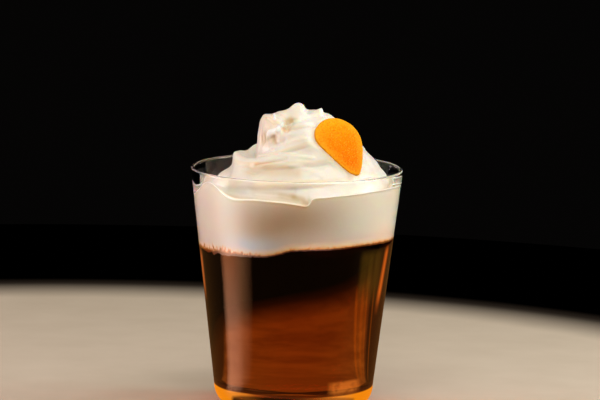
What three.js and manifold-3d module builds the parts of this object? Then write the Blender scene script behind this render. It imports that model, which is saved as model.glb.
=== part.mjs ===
// A rum and orange cocktail in a tapered tumbler, topped with whipped cream and a slip of orange peel.
// Millimetres, +Z up. The origin is the middle of the tumbler's foot, and -Y is the side with the peel.
import * as THREE from "three";
import { mergeVertices } from "three/addons/utils/BufferGeometryUtils.js";
import Module from "manifold-3d";

const wasm = await Module();
wasm.setup();

const radians = THREE.MathUtils.degToRad;
const smooth = THREE.MathUtils.smoothstep;
const lerp = THREE.MathUtils.lerp;
const rising = (value) => 0.5 + 0.5 * Math.tanh(value);
const FULL_TURN = 2 * Math.PI;

// Clearance between pieces that touch
const GAP = 0.3;

// Tumbler: a plain cone with a thin base, a rounded heel and a shallow punt under it
const GLASS_HEIGHT = 98;
const RIM_RADIUS = 43;
const RIM_WALL = 1.6;
const OUTER_SLOPE = 0.121;
const INNER_SLOPE = 0.127;
const HEEL_HEIGHT = 9.2;
const FOOT_RADIUS = 23;
const FOOT_WIDTH = 4;
const PUNT_DEPTH = 0.8;
const PUNT_SLANT = 4;
const FLOOR_HEIGHT = 3.5;
const FLOOR_CORNER = 6.3;
const GLASS_SEGMENTS = 64;

// Boundary between drink and cream: it rises from left to right along the wall and is level in the middle
const DRINK_LEVEL = 66.6;
const DRINK_RISE = 3.5;
const DRINK_RISE_AT = -0.16;
const DRINK_RISE_WIDTH = 0.13;
const DRINK_WAVES = [
  { azimuth: -40, lift: 0.7, sweep: 20 },
  { azimuth: -168, lift: -0.8, sweep: 22 },
  { azimuth: 110, lift: 0.9, sweep: 30 },
];
const DRINK_SHARES = [0.4, 0.75, 1];

// Mound of cream: its height falls as a power of the distance from its own middle, down to a moat at the wall
const MOUND_OFFSET = 2;
const MOUND_TOP = 124;
const MOUND_DROP = 29;
const MOUND_POWER = 1.55;
const MOUND_RADIUS = 35;
const MOUND_WAVES = [
  { azimuth: 160, lift: -2, sweep: 70 },
  { azimuth: 0, lift: 1.9, sweep: 40 },
];
const FOOT_DROP = 3;
const FOOT_DROP_FROM = 0.93;
const FOOT_DROP_TO = 1.1;
const MOAT_HEIGHT = 90.6;
const MOAT_EDGE = 0.9;
const MOAT_ROUNDING = 1.2;
const CREAM_SEGMENTS = 100;
const CREAM_RINGS = 40;

// Height of the cream along the wall, where one lobe ends in a step over another at the front
const COLLAR_HEIGHT = 91.4;
const COLLAR_WAVES = [
  { azimuth: -147, lift: 4.9, sweep: 12 },
  { azimuth: -22, lift: 2.2, sweep: 30 },
  { azimuth: -176, lift: -2.8, sweep: 15 },
  { azimuth: 150, lift: -1.6, sweep: 20 },
  { azimuth: 62, lift: 1.2, sweep: 24 },
];
const OVERLAP_AZIMUTH = -82;
const OVERLAP_STEP = 3.8;
const OVERLAP_SWEEP = 20;

// Folds left by the spoon, winding up the mound, with a crease under each and a long round back above it
const FOLD_PITCH = 6.3;
const FOLD_START = 33.1;
const FOLD_DEPTH = 1.3;
const FOLD_SKEW = 0.62;
const FOLD_SWAY = 0.16;
const FOLD_SWAY_AT = 0.6;
const FOLD_RIPPLE = 0.1;
const FOLD_RIPPLE_AT = -1.1;
const FOLD_TOP_FROM = 5;
const FOLD_TOP_TO = 14;
const FOLD_WAVES = [
  { azimuth: -5, lift: -0.8, sweep: 50 },
  { azimuth: 180, lift: -0.8, sweep: 26 },
];

// Knob on the left of the top, which ends in a steep ledge
const KNOB_AZIMUTH = -168;
const KNOB_SWEEP = 52;
const KNOB_RADIUS = 16;
const KNOB_LIFT = 5.2;
const KNOB_SPREAD = 3.6;
const LEDGE_RADIUS = 17.7;
const LEDGE_DROP = 9.2;
const LEDGE_SPREAD = 6;
const LEDGE_EDGE = 0.55;

// Shares of the way to the wall between which the relief fades out
const RELIEF_TO = 0.84;
const RELIEF_END = 0.97;

// Lumps and hollows on the mound: middle, half-width across the view and along it, and lift
const LUMPS = [
  { name: "peak", x: 0.3, y: -1, wide: 3, deep: 3.4, lift: 1.9 },
  { name: "notch", x: 4.3, y: -1, wide: 1.7, deep: 4.5, lift: -2 },
  { name: "second peak", x: 8.7, y: -1, wide: 1.1, deep: 2, lift: 1.6 },
  { name: "right of the top", x: 12.6, y: -2, wide: 3.4, deep: 7, lift: 1.3 },
  { name: "top of the knob", x: -8, y: -2, wide: 4, deep: 6, lift: 2.1 },
  { name: "crease beside the knob", x: -4.4, y: -9.6, wide: 1.7, deep: 4, lift: -2.2 },
  { name: "dimple", x: 2, y: -9.6, wide: 1.5, deep: 2, lift: -0.7 },
  { name: "swelling beside the peel", x: 4.5, y: -15.5, wide: 5, deep: 4.5, lift: 2.4 },
  { name: "shoulder", x: -22.8, y: -3, wide: 2.6, deep: 10, lift: 2.9 },
  { name: "hollow of the left flank", x: -28.4, y: -4, wide: 2.2, deep: 16, lift: -2.4 },
  { name: "front hollow", x: -12, y: -25.4, wide: 7, deep: 1.5, lift: -0.9 },
];

// Orange peel: a slip with one long straight edge, skin outwards, which lies on the front right of the mound
const PEEL_PLACE = [18.4, -17.1, 110.7];
const PEEL_LENGTHWAYS = [0.748, -0.175, -0.64];
const PEEL_OUTWARDS = [0.379, -0.679, 0.629];
const PEEL_THICKNESS = 2.2;
const PEEL_BEND_RADIUS = 50;
const PEEL_EDGE = 0.5;
const PEEL_INSETS = [7, 3.5, 1.5];
const PEEL_SEGMENTS = 36;
const PEEL_OUTLINE = [
  [13.5, -6],
  [12.6, -2.8],
  [10.2, 0.8],
  [6.8, 5.2],
  [2, 9.1],
  [-3.8, 10.2],
  [-9.2, 7.7],
  [-12.1, 2.8],
  [-11.9, -3.4],
  [-9, -7.8],
  [-4, -9.5],
  [3, -9.8],
  [10.2, -8.8],
];

// Bed of cream that the peel is pressed into, level with the peel along its straight edge
const PEEL_SHOWS = 0.3;
const BED_REACH = [13, 10.5];
const BED_INNER = 0.75;
const BED_OUTER = 1.1;
const BED_EDGE_Y = -10.2;
const BED_EDGE_WIDTH = 3.4;
const BED_EDGE_FROM = 10;
const BED_EDGE_TO = 17;
const BED_NEAR = 4;
const BED_FAR = 9;

const innerRadius = (z) => RIM_RADIUS - RIM_WALL - (GLASS_HEIGHT - z) * INNER_SLOPE;
const outerRadius = (z) => RIM_RADIUS - (GLASS_HEIGHT - z) * OUTER_SLOPE;
const polar = (radius, azimuth, z) => [radius * Math.cos(azimuth), radius * Math.sin(azimuth), z];

// Angle in radians from a centre in degrees, within half a turn each way
function turnFrom(azimuth, centre) {
  const turn = azimuth - radians(centre);
  return Math.atan2(Math.sin(turn), Math.cos(turn));
}

// Sum of bell-shaped waves round the axis, each with its azimuth and sweep in degrees
function wavesAt(waves, azimuth) {
  return waves.reduce((sum, wave) => {
    const away = turnFrom(azimuth, wave.azimuth) / radians(wave.sweep);
    return sum + wave.lift * Math.exp(-away * away);
  }, 0);
}

// Points between two ends of a quarter arc, as [radius, height], leaving the first end level or else upright
function arc(from, to, leavesLevel, steps) {
  return Array.from({ length: steps }, (_, i) => {
    const turn = ((i + 1) / (steps + 1)) * (Math.PI / 2);
    const fast = Math.sin(turn);
    const slow = 1 - Math.cos(turn);
    const [across, up] = leavesLevel ? [fast, slow] : [slow, fast];
    return [lerp(from[0], to[0], across), lerp(from[1], to[1], up)];
  });
}

// A closed surface through a stack of rings of points, with a single point as the pole at each end
function closeRings(first, rings, last) {
  const count = rings[0].length;
  const vertices = [first, ...rings.flat(), last];
  const at = (ring, i) => 1 + ring * count + (i % count);
  const faces = [];
  for (let i = 0; i < count; i++) {
    faces.push(0, at(0, i + 1), at(0, i));
    for (let ring = 0; ring + 1 < rings.length; ring++) {
      faces.push(at(ring, i), at(ring, i + 1), at(ring + 1, i + 1));
      faces.push(at(ring, i), at(ring + 1, i + 1), at(ring + 1, i));
    }
    faces.push(at(rings.length - 1, i), at(rings.length - 1, i + 1), vertices.length - 1);
  }
  const geometry = new THREE.BufferGeometry();
  geometry.setAttribute("position", new THREE.Float32BufferAttribute(vertices.flat(), 3));
  geometry.setIndex(faces);
  return geometry;
}

function ringOf(count, pointAt) {
  return Array.from({ length: count }, (_, i) => pointAt((i / count) * FULL_TURN));
}

function makeGlass() {
  const lipHeight = GLASS_HEIGHT - RIM_WALL / 2;
  const heel = [outerRadius(HEEL_HEIGHT), HEEL_HEIGHT];
  const outerLip = [outerRadius(lipHeight), lipHeight];
  const innerLip = [innerRadius(lipHeight), lipHeight];
  const crown = [(outerLip[0] + innerLip[0]) / 2, GLASS_HEIGHT];
  const corner = [innerRadius(FLOOR_HEIGHT + FLOOR_CORNER), FLOOR_HEIGHT + FLOOR_CORNER];
  const floorEdge = [corner[0] - FLOOR_CORNER, FLOOR_HEIGHT];
  const profile = [
    [0, PUNT_DEPTH],
    [FOOT_RADIUS - FOOT_WIDTH - PUNT_SLANT, PUNT_DEPTH],
    [FOOT_RADIUS - FOOT_WIDTH, 0],
    [FOOT_RADIUS, 0],
    ...arc([FOOT_RADIUS, 0], heel, true, 5),
    heel,
    outerLip,
    ...arc(outerLip, crown, false, 2),
    crown,
    ...arc(crown, innerLip, true, 2),
    innerLip,
    corner,
    ...arc(corner, floorEdge, false, 3),
    floorEdge,
    [0, FLOOR_HEIGHT],
  ];
  const points = profile.map(([radius, z]) => new THREE.Vector2(radius, z));
  return new THREE.LatheGeometry(points, GLASS_SEGMENTS).rotateX(Math.PI / 2);
}

// Point between drink and cream, "lift" above their boundary, where "share" is how far out to the wall it is
function boundaryPoint(share, azimuth, lift) {
  const rise = DRINK_RISE * rising((Math.cos(azimuth) - DRINK_RISE_AT) / DRINK_RISE_WIDTH);
  const atWall = DRINK_LEVEL + rise + wavesAt(DRINK_WAVES, azimuth);
  const z = lerp(DRINK_LEVEL + DRINK_RISE / 2, atWall, share * share) + lift;
  return polar((innerRadius(z) - GAP) * share, azimuth, z);
}

function makeDrink() {
  const floor = FLOOR_HEIGHT + GAP;
  const corner = [innerRadius(FLOOR_HEIGHT + FLOOR_CORNER) - GAP, FLOOR_HEIGHT + FLOOR_CORNER];
  const floorEdge = [corner[0] - FLOOR_CORNER + GAP, floor];
  const wall = [floorEdge, ...arc(floorEdge, corner, true, 3), corner];
  const rings = wall.map(([radius, z]) => ringOf(GLASS_SEGMENTS, (azimuth) => polar(radius, azimuth, z)));
  for (const share of [...DRINK_SHARES].reverse())
    rings.push(ringOf(GLASS_SEGMENTS, (azimuth) => boundaryPoint(share, azimuth, -GAP / 2)));
  return closeRings([0, 0, floor], rings, boundaryPoint(0, 0, -GAP / 2));
}

// Height at which the cream meets the wall
function collarHeight(azimuth) {
  const past = turnFrom(azimuth, OVERLAP_AZIMUTH);
  const dip = past > 0 ? 0 : OVERLAP_STEP * Math.exp(past / radians(OVERLAP_SWEEP));
  return COLLAR_HEIGHT + wavesAt(COLLAR_WAVES, azimuth) - dip;
}

// Height of the plain mound, which falls to the moat, whose outer edge rises to the line along the wall
function moundHeight(radius, share, azimuth) {
  const part = radius / (MOUND_RADIUS + wavesAt(MOUND_WAVES, azimuth));
  const foot = FOOT_DROP * smooth(part, FOOT_DROP_FROM, FOOT_DROP_TO);
  const dome = MOUND_TOP - MOUND_DROP * part ** MOUND_POWER - foot;
  const collar = collarHeight(azimuth);
  const moat = lerp(Math.min(MOAT_HEIGHT, collar), collar, smooth(share, MOAT_EDGE, 1));
  const above = (dome - moat) / (2 * MOAT_ROUNDING);
  return moat + MOAT_ROUNDING * (above + Math.hypot(above, 1) - 1);
}

function foldRelief(radius, azimuth) {
  const sway = FOLD_SWAY * Math.sin(azimuth + FOLD_SWAY_AT);
  const ripple = FOLD_RIPPLE * Math.sin(2 * azimuth + FOLD_RIPPLE_AT);
  const turns = (FOLD_START - radius) / FOLD_PITCH - azimuth / FULL_TURN + sway + ripple;
  const share = turns - Math.floor(turns);
  const depth = FOLD_DEPTH * (1 + wavesAt(FOLD_WAVES, azimuth)) * smooth(radius, FOLD_TOP_FROM, FOLD_TOP_TO);
  return depth * (Math.sin(Math.PI * share ** FOLD_SKEW) - 0.5);
}

function knobLift(radius, azimuth) {
  const body = KNOB_LIFT * Math.exp(-(((radius - KNOB_RADIUS) / KNOB_SPREAD) ** 2));
  const shelf = -LEDGE_DROP * Math.exp(-(((radius - LEDGE_RADIUS) / LEDGE_SPREAD) ** 2));
  const lift = lerp(body, shelf, rising((radius - LEDGE_RADIUS) / LEDGE_EDGE));
  return wavesAt([{ azimuth: KNOB_AZIMUTH, lift, sweep: KNOB_SWEEP }], azimuth);
}

function lumpRelief(x, y) {
  return LUMPS.reduce((sum, lump) => {
    const away = Math.hypot((x - lump.x) / lump.wide, (y - lump.y) / lump.deep);
    return sum + lump.lift * Math.exp(-away * away);
  }, 0);
}

// From the peel's own frame, whose +X runs along it and +Z out of its skin, into the part's frame
function makePeelFrame() {
  const out = new THREE.Vector3(...PEEL_OUTWARDS).normalize();
  const along = new THREE.Vector3(...PEEL_LENGTHWAYS);
  along.addScaledVector(out, -along.dot(out)).normalize();
  const across = new THREE.Vector3().crossVectors(out, along);
  return new THREE.Matrix4().makeBasis(along, across, out).setPosition(...PEEL_PLACE);
}

const peelFrame = makePeelFrame();
const intoPeel = peelFrame.clone().invert();
const peelBend = (x, y) => (x * x + y * y) / (2 * PEEL_BEND_RADIUS);

// Moves a point of the cream to the bed: nowhere above it under the peel, level with it at the straight edge
function pressUnderPeel(point) {
  const place = new THREE.Vector3(...point).applyMatrix4(intoPeel);
  const bed = PEEL_THICKNESS / 2 - PEEL_SHOWS - peelBend(place.x, place.y);
  const fromMiddle = Math.hypot(place.x / BED_REACH[0], place.y / BED_REACH[1]);
  place.z = lerp(Math.min(place.z, bed), place.z, smooth(fromMiddle, BED_INNER, BED_OUTER));
  const beside = 1 - smooth(Math.abs(place.x), BED_EDGE_FROM, BED_EDGE_TO);
  const near = 1 - smooth(Math.abs(place.z), BED_NEAR, BED_FAR);
  const atEdge = Math.exp(-(((place.y - BED_EDGE_Y) / BED_EDGE_WIDTH) ** 2));
  place.z = lerp(place.z, bed, beside * near * atEdge);
  return place.applyMatrix4(peelFrame).toArray();
}

// A point of the cream's top, where "share" runs from 0 at the peak to 1 at the wall
function creamPoint(share, azimuth) {
  const radius = share * (innerRadius(collarHeight(azimuth)) - GAP);
  const [x, y] = polar(radius, azimuth, 0);
  const middle = MOUND_OFFSET * (1 - share * share);
  const steepness = (MOUND_DROP * MOUND_POWER) / MOUND_RADIUS;
  const tilt = Math.atan(steepness * (radius / MOUND_RADIUS) ** (MOUND_POWER - 1));
  const onMound = 1 - smooth(share, RELIEF_TO, RELIEF_END);
  const relief = (foldRelief(radius, azimuth) + lumpRelief(middle + x, y)) * onMound;
  const [outX, outY] = polar(relief * Math.sin(tilt), azimuth, 0);
  const z = moundHeight(radius, share, azimuth) + relief * Math.cos(tilt) + knobLift(radius, azimuth);
  return pressUnderPeel([middle + x + outX, y + outY, z]);
}

// The peel's solid in its own frame, larger all round by "grow"
function makePeel(grow) {
  const knots = PEEL_OUTLINE.map(([x, y]) => new THREE.Vector3(x, y, 0));
  const outline = new THREE.CatmullRomCurve3(knots, true).getSpacedPoints(PEEL_SEGMENTS).slice(0, -1);
  const layer = (inset, z) =>
    outline.map((point) => {
      const { x, y } = point.clone().setLength(point.length() - inset);
      return [x, y, z - peelBend(x, y)];
    });
  const half = PEEL_THICKNESS / 2;
  const insets = [...PEEL_INSETS, PEEL_EDGE];
  const back = insets.map((inset) => layer(inset - grow, -half - grow));
  const sides = [PEEL_EDGE - half, half - PEEL_EDGE].map((z) => layer(-grow, z));
  const skin = insets.map((inset) => layer(inset - grow, half + grow)).reverse();
  return closeRings([0, 0, -half - grow], [...back, ...sides, ...skin], [0, 0, half + grow]);
}

function solidOf(geometry) {
  const merged = mergeVertices(geometry);
  return new wasm.Manifold(
    new wasm.Mesh({
      numProp: 3,
      vertProperties: merged.attributes.position.array,
      triVerts: new Uint32Array(merged.index.array),
    }),
  );
}

function geometryOf(solid) {
  const mesh = solid.getMesh();
  const geometry = new THREE.BufferGeometry();
  geometry.setAttribute("position", new THREE.Float32BufferAttribute(mesh.vertProperties, 3));
  geometry.setIndex([...mesh.triVerts]);
  return geometry;
}

function makeCream() {
  const rings = DRINK_SHARES.map((share) =>
    ringOf(CREAM_SEGMENTS, (azimuth) => boundaryPoint(share, azimuth, GAP / 2)),
  );
  for (let ring = CREAM_RINGS; ring > 0; ring--)
    rings.push(ringOf(CREAM_SEGMENTS, (azimuth) => creamPoint(ring / CREAM_RINGS, azimuth)));
  const whole = solidOf(closeRings(boundaryPoint(0, 0, GAP / 2), rings, creamPoint(0, 0)));
  const pocket = solidOf(makePeel(GAP).applyMatrix4(peelFrame));
  const bodies = whole.subtract(pocket).decompose();
  return geometryOf(bodies.sort((a, b) => b.volume() - a.volume())[0]);
}

const cocktail = new THREE.Group();

function addPiece(name, geometry, look) {
  const mesh = new THREE.Mesh(geometry, new THREE.MeshStandardMaterial({ metalness: 0, ...look }));
  mesh.name = name;
  cocktail.add(mesh);
  return mesh;
}

addPiece("glass", makeGlass(), { color: 0xe4ebe8, roughness: 0.05, transparent: true, opacity: 0.35 });
addPiece("drink", makeDrink(), { color: 0x9a4a10, roughness: 0.1 });
addPiece("whipped_cream", makeCream(), { color: 0xf6ecd8, roughness: 0.45 });
addPiece("orange_peel", makePeel(0), { color: 0xff9a12, roughness: 0.5 }).applyMatrix4(peelFrame);

export default cocktail;
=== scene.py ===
"""A rum and orange cocktail in a tapered tumbler, with whipped cream and a slip of orange peel on it.

Lengths in the making of the pieces are millimetres in the part's own frame: the foot's middle is the origin,
+Z is up and -Y is the side with the peel. Azimuths are degrees, 0 towards +X and -90 towards the viewer.
"""

import math

import bpy
import numpy as np
from mathutils import Matrix, Vector, noise


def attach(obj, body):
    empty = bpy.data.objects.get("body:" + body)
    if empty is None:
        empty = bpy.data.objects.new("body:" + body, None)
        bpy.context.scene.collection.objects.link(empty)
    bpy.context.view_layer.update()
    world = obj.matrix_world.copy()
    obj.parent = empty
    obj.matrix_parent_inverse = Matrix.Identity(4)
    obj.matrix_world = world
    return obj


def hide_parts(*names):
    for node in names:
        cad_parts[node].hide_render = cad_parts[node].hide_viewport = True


MM = 0.001

# Tumbler
GLASS_HEIGHT = 98
RIM_RADIUS = 43
RIM_WALL = 1.6
OUTER_SLOPE = 0.121
INNER_SLOPE = 0.127
HEEL_HEIGHT = 9.2
FOOT_RADIUS = 23
FOOT_WIDTH = 4
PUNT_DEPTH = 0.8
PUNT_SLANT = 4
FLOOR_HEIGHT = 3.5
FLOOR_CORNER = 6.3
TURNING_STEPS = 192

HEEL_STEPS = 14
LIP_STEPS = 4
CORNER_STEPS = 10
SHARPEST_EDGE = 50

# How far drink and cream reach into the glass wall, and the drink into the cream
INTO_WALL = 0.2
CREAM_INTO_WALL = 0.15
INTO_CREAM = 0.3

# Boundary between drink and cream, which rises from left to right along the wall
DRINK_LEVEL = 66.6
DRINK_RISE = 3.5
DRINK_RISE_AT = -0.16
DRINK_RISE_WIDTH = 0.13
DRINK_WAVES = [(-40, 0.7, 20), (-168, -0.8, 22), (110, 0.9, 30)]
DRINK_TOP_RINGS = (1, 0.96, 0.9, 0.8, 0.7, 0.55, 0.4, 0.2, 0)

# Frayed lower edge of the cream
FRAY_LEAST = 0.4
FRAY_ALL_ROUND = 0.25
FRAY_WAVES = [(-142, 1.1, 30)]
FRAY_MIDDLE = 0.4
FRAY_RUFFLES = [(2.6, 0.5), (1.1, 0.45)]

# Steps of the cream's body, and the shares of its layers where its underside and its side end
CREAM_STEPS_AROUND = 460
CREAM_LAYERS = 205
UNDER_END = 0.05
SIDE_END = 0.16

# Mound of cream
MOUND_OFFSET = 2
MOUND_TOP = 124
MOUND_DROP = 29
MOUND_POWER = 1.55
MOUND_RADIUS = 35
MOUND_WAVES = [(160, -2, 70), (0, 1.9, 40)]
FOOT_DROP = 3
FOOT_DROP_FROM = 0.93
FOOT_DROP_TO = 1.1
MOAT_HEIGHT = 90.6
MOAT_EDGE = 0.9
MOAT_ROUNDING = 1.2

# Height of the cream along the wall, and the step where one lobe ends over another
COLLAR_HEIGHT = 91.4
COLLAR_WAVES = [
    (-147, 4.9, 12), (-131, -1.3, 11), (-60, 1.6, 30), (-22, 2.2, 30),
    (62, 1.2, 24), (150, -1.6, 20), (-176, -2.8, 15),
]
OVERLAP_AZIMUTH = -82
OVERLAP_STEP = 4
OVERLAP_SWEEP = 13
OVERLAP_SOFTNESS = 2
OVERLAP_HANG = 0.9
OVERLAP_HANG_SWEEP = 4
OVERLAP_HANG_FROM = 0.8
OVERLAP_HANG_TO = 0.97
OVERLAP_BEAD = 0.7
LIP_ROUNDING = 0.7
LIP_FROM = 0.975

# Folds that wind up the mound
FOLD_PITCH = 6.3
FOLD_START = 33.1
FOLD_DEPTH = 1.3
FOLD_SKEW = 0.62
FOLD_SWAY = 0.16
FOLD_SWAY_AT = 0.6
FOLD_RIPPLE = 0.1
FOLD_RIPPLE_AT = -1.1
FOLD_TOP_FROM = 5
FOLD_TOP_TO = 14
FOLD_WAVES = [(-5, -0.8, 50), (180, -0.8, 26)]

# Knob on the left of the top, which ends in a steep ledge
KNOB_AZIMUTH = -168
KNOB_SWEEP = 52
KNOB_RADIUS = 16
KNOB_LIFT = 5.2
KNOB_SPREAD = 3.6
LEDGE_RADIUS = 17.7
LEDGE_DROP = 9.2
LEDGE_SPREAD = 6
LEDGE_EDGE = 0.55
RELIEF_TO = 0.84
RELIEF_END = 0.97

# Lumps and hollows on the mound: middle x and y, half-width across the view and along it, lift
LUMPS = [
    (0.3, -1, 3, 3.4, 1.9),  # peak
    (4.3, -1, 1.7, 4.5, -2),  # notch
    (8.7, -1, 1.1, 2, 1.6),  # second peak
    (12.6, -2, 3.4, 7, 1.3),  # right of the top
    (-8, -2, 4, 6, 2.1),  # top of the knob
    (-4.4, -9.6, 1.7, 4, -2.2),  # crease beside the knob
    (2, -9.6, 1.5, 2, -0.7),  # dimple
    (4.5, -15.5, 5, 4.5, 2.4),  # swelling beside the peel
    (-22.8, -3, 2.6, 10, 2.9),  # shoulder
    (-28.4, -4, 2.2, 16, -2.4),  # hollow of the left flank
    (-12, -25.4, 7, 1.5, -0.9),  # front hollow
]

# Small unevenness of the mound, and more where the knob broke off the spoon, by length and depth
MOUND_RUFFLES = [(4, 0.12)]
BROKEN_RUFFLES = [(3, 0.55), (1.5, 0.3)]
BROKEN_MIDDLE = (-11.5, -13, 109.5)
BROKEN_REACH = (6, 7, 4)
ROUGH_UNTIL = (0.9, 0.99)

# Marks of the spoon as they are seen from the front: their lines, by millimetres right of the rim's middle
# and above it, their half-width and their lift
MARKS = [
    # knob
    ([(-12.6, 13.2), (-10.5, 14.2), (-8.7, 14.6), (-7.6, 15.9), (-6.2, 17.2)], 0.55, 1.1),
    ([(-9.7, 21), (-9.1, 19.4)], 0.4, 0.6),
    ([(-14, 12), (-13.7, 10.4)], 0.9, -1.5),
    ([(-10.1, 12.2), (-9.5, 10.8)], 1.2, -1.5),
    ([(-12, 12.2), (-12, 10.6)], 0.45, 0.5),
    ([(-4.6, 15), (-3, 18.6)], 1.4, -0.9),
    ([(-16.1, 9.2), (-12.5, 8.9), (-8.9, 9.5), (-5.2, 10.4)], 0.6, -0.7),
    ([(-16.2, 15), (-16.4, 11.9)], 0.9, 0.5),
    # folds of the front
    ([(-14.1, 7), (-10.1, 8.2), (-4.8, 9.6), (0, 11), (3.7, 11.7)], 0.8, 0.6),
    ([(-15.7, 4.2), (-10.9, 4.4), (-4.8, 4.8), (1.3, 4.2), (6.1, 3.8)], 0.7, 0.6),
    ([(-16.6, 0.9), (-12.9, 1.7), (-8.9, 2.3), (-4.4, 3.2)], 0.65, -0.8),
    ([(-19, 0.5), (-10, -0.6), (-2.8, -1.1)], 1.6, -0.5),
    ([(-2.8, 0.5), (5.3, -1.1), (10.2, -3.5)], 0.9, 0.35),
    # left flank
    ([(-21.8, -1.5), (-17, -2.9)], 0.35, 0.35),
    ([(-20.6, -0.9), (-19.4, -1.5)], 0.3, 0.3),
    # under the rim
    ([(-24.2, -6.8), (-21, -6.3), (-15.8, -7)], 0.5, 0.3),
    ([(-19, -9.6), (-10, -8.9), (-1, -9.4)], 0.9, -0.35),
    ([(-16, -12), (-6, -12.6), (1, -13.6)], 0.7, 0.35),
]
MARK_FACING = (0.0, 0.35)
FRONT_HALF = (-2, 2)

# Painted highlights, painted light and painted shade on the mound as they are seen from the front: lines,
# half-width and share
PAINTED_HIGHLIGHT_LINES = [
    ([(-11.9, 13.7), (-10.1, 14.5), (-8.1, 15.1), (-6.4, 16.9)], 0.6, 1.2),  # ridge of the knob
    ([(-9.5, 21.4), (-9.3, 19.3)], 0.4, 0.8),
    ([(8.1, 24.8), (9.4, 23.2), (9.8, 21.2)], 0.7, 0.6),  # second peak
    ([(3.4, 21.5), (3.6, 18.7), (6.1, 13.1)], 2.6, 0.45),  # beside the peel
]
# Painted light: a glow along this line low on the front
LIT_LINES = [
    ([(-15.7, -7.6), (-4.8, -7.7), (7.7, -6.9), (11.5, -6.5)], 1.5, 0.6),
]
# Painted shade: tan along these lines
SHADED_LINES = [
    ([(-13.6, 12.3), (-13.2, 10)], 1.3, 0.8),  # pits of the knob
    ([(-9.3, 12.2), (-8.8, 10)], 1.3, 0.5),
    ([(-14, 19), (-11.5, 16)], 3.5, 0.15),
    ([(-4.8, 15.9), (-3.2, 18.5)], 1.3, 0.5),
    ([(-19, -1.9), (-12.9, -1.9), (0, -2.3)], 2, 0.42),  # under the folds of the front
    ([(-17, -10.2), (-10, -10.9), (-3, -12)], 1.2, 0.25),  # hollow along the wall
    ([(-6, -11.6), (-1, -12.3)], 1.3, 0.3),
    ([(-1, -12.3), (2.6, -13.2), (3.6, -14.9)], 1.3, 0.7),
]

# Shares towards the wall where the painted shade on the mound's foot rises as the foot turns down, where that
# shade ends, and where the painted light on the edge drawn up to the wall begins
FOOT_TURNS = (0.87, 0.95)
FOOT_ENDS = (0.965, 0.98)
EDGE_DRAWN_UP = (0.968, 0.982)

# Painted light and shade on the cream against the glass: azimuth and sweep, height over the drink and reach
# from it
SIDE_TONES = [
    ("thinned", -119, 15, 4, 3.5),
    ("left_gleam", -133, 11, 0, math.inf),
    ("right_gleam", -25, 15, 2, 8),
    ("rosy", -77, 12, 0, 6),
    ("tanned", -98, 26, 12, 8),
]
SIDE_TONES_PAST = 0.03
PINKISH_FROM = (0.3, 0.55)
PINKISH_UP_TO = (4.9, 5.5)
# Spread round the wall of the painted orange light shone through the drink
SHONE_WAVES = [(-72, 0.5, 24)]
STAIN_WAVES = [(-148, 0.7, 26)]

# Orange peel and the bed of cream that it is pressed into
PEEL_PLACE = (18.4, -17.1, 110.7)
PEEL_LENGTHWAYS = (0.748, -0.175, -0.64)
PEEL_OUTWARDS = (0.379, -0.679, 0.629)
PEEL_THICKNESS = 2.2
PEEL_BEND_RADIUS = 50
PEEL_EDGE = 0.5
PEEL_OUTLINE = [
    (13.5, -6), (12.6, -2.8), (10.2, 0.8), (6.8, 5.2), (2, 9.1), (-3.8, 10.2), (-9.2, 7.7),
    (-12.1, 2.8), (-11.9, -3.4), (-9, -7.8), (-4, -9.5), (3, -9.8), (10.2, -8.8),
]
PEEL_SHOWS = 0.3
PEEL_STEPS_AROUND = 160
PEEL_LAYERS = 80
PEEL_BACK_END = 0.36
PEEL_EDGE_POWER = 0.6
PEEL_TIP_SPAN = (26, 60)
# Reach, side and depth of the painted orange bounce light and shade on the cream beside the peel
PEEL_TINT_REACH = 1.3
PEEL_TINT_SIDE = (1, 6)
PEEL_TINT_DEPTH = (4, 8)
CLEAR_OF_PEEL = (0.8, 1.15)
BED_REACH = (13, 10.5)
BED_INNER = 0.75
BED_OUTER = 1.1
BED_EDGE_Y = -10.2
BED_EDGE_WIDTH = 3.4
BED_EDGE_FROM = 10
BED_EDGE_TO = 17
BED_NEAR = 4
BED_FAR = 9

BLACK = (0.0, 0.0, 0.0)

# Colours of the cream: what each follows, how much of it there is, and the colour; all but the pinkish tint
# and the stain are painted shade, highlight or light
MOUND_COLOURS = [
    # Painted shade in the hollows of the marks and folds
    ("hollow", 0.65, (0.90, 0.74, 0.50)),
    # Painted shade on the mound's foot where it turns down to the wall
    ("turning_down", 0.5, (0.74, 0.58, 0.38)),
    ("shaded", 1.0, (0.64, 0.48, 0.26)),
    # Painted highlight: near white along the highlight lines
    ("wet", 1.0, (1.0, 0.98, 0.97)),
    # Painted orange bounce light and shade from the peel
    ("beside_peel", 0.6, (1.0, 0.60, 0.30)),
]
SIDE_COLOURS = [
    # Painted shade on the front of the cream against the glass
    ("tanned", 0.85, (0.76, 0.52, 0.31)),
    # Painted bluish light low on the left of the front against the glass
    ("thinned", 0.8, (0.66, 0.73, 0.84)),
    ("pinkish", 0.5, (1.0, 0.80, 0.72)),
]
STAIN_COLOURS = [(0.0, (0.30, 0.10, 0.01)), (0.25, (0.85, 0.36, 0.06)), (0.6, (1.0, 0.68, 0.38))]

# Painted light on the cream, added as glow: what each follows and its colour
CREAM_LIGHTS = [
    ("left_gleam", (0.185, 0.165, 0.15)),
    ("right_gleam", (0.14, 0.05, 0.01)),
    ("thinned", (0.07, 0.10, 0.11)),
    ("rosy", (0.09, 0.05, 0.045)),
    ("drawn_up", (0.12, 0.10, 0.08)),
    ("lit", (0.36, 0.22, 0.09)),
    ("wet", (0.20, 0.24, 0.30)),
]

# Colour of the peel from its yellow end to its red tip
ZEST_COLOURS = [(0.1, (1.0, 0.43, 0.008)), (0.5, (1.0, 0.27, 0.0)), (0.9, (1.0, 0.21, 0.0))]
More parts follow.
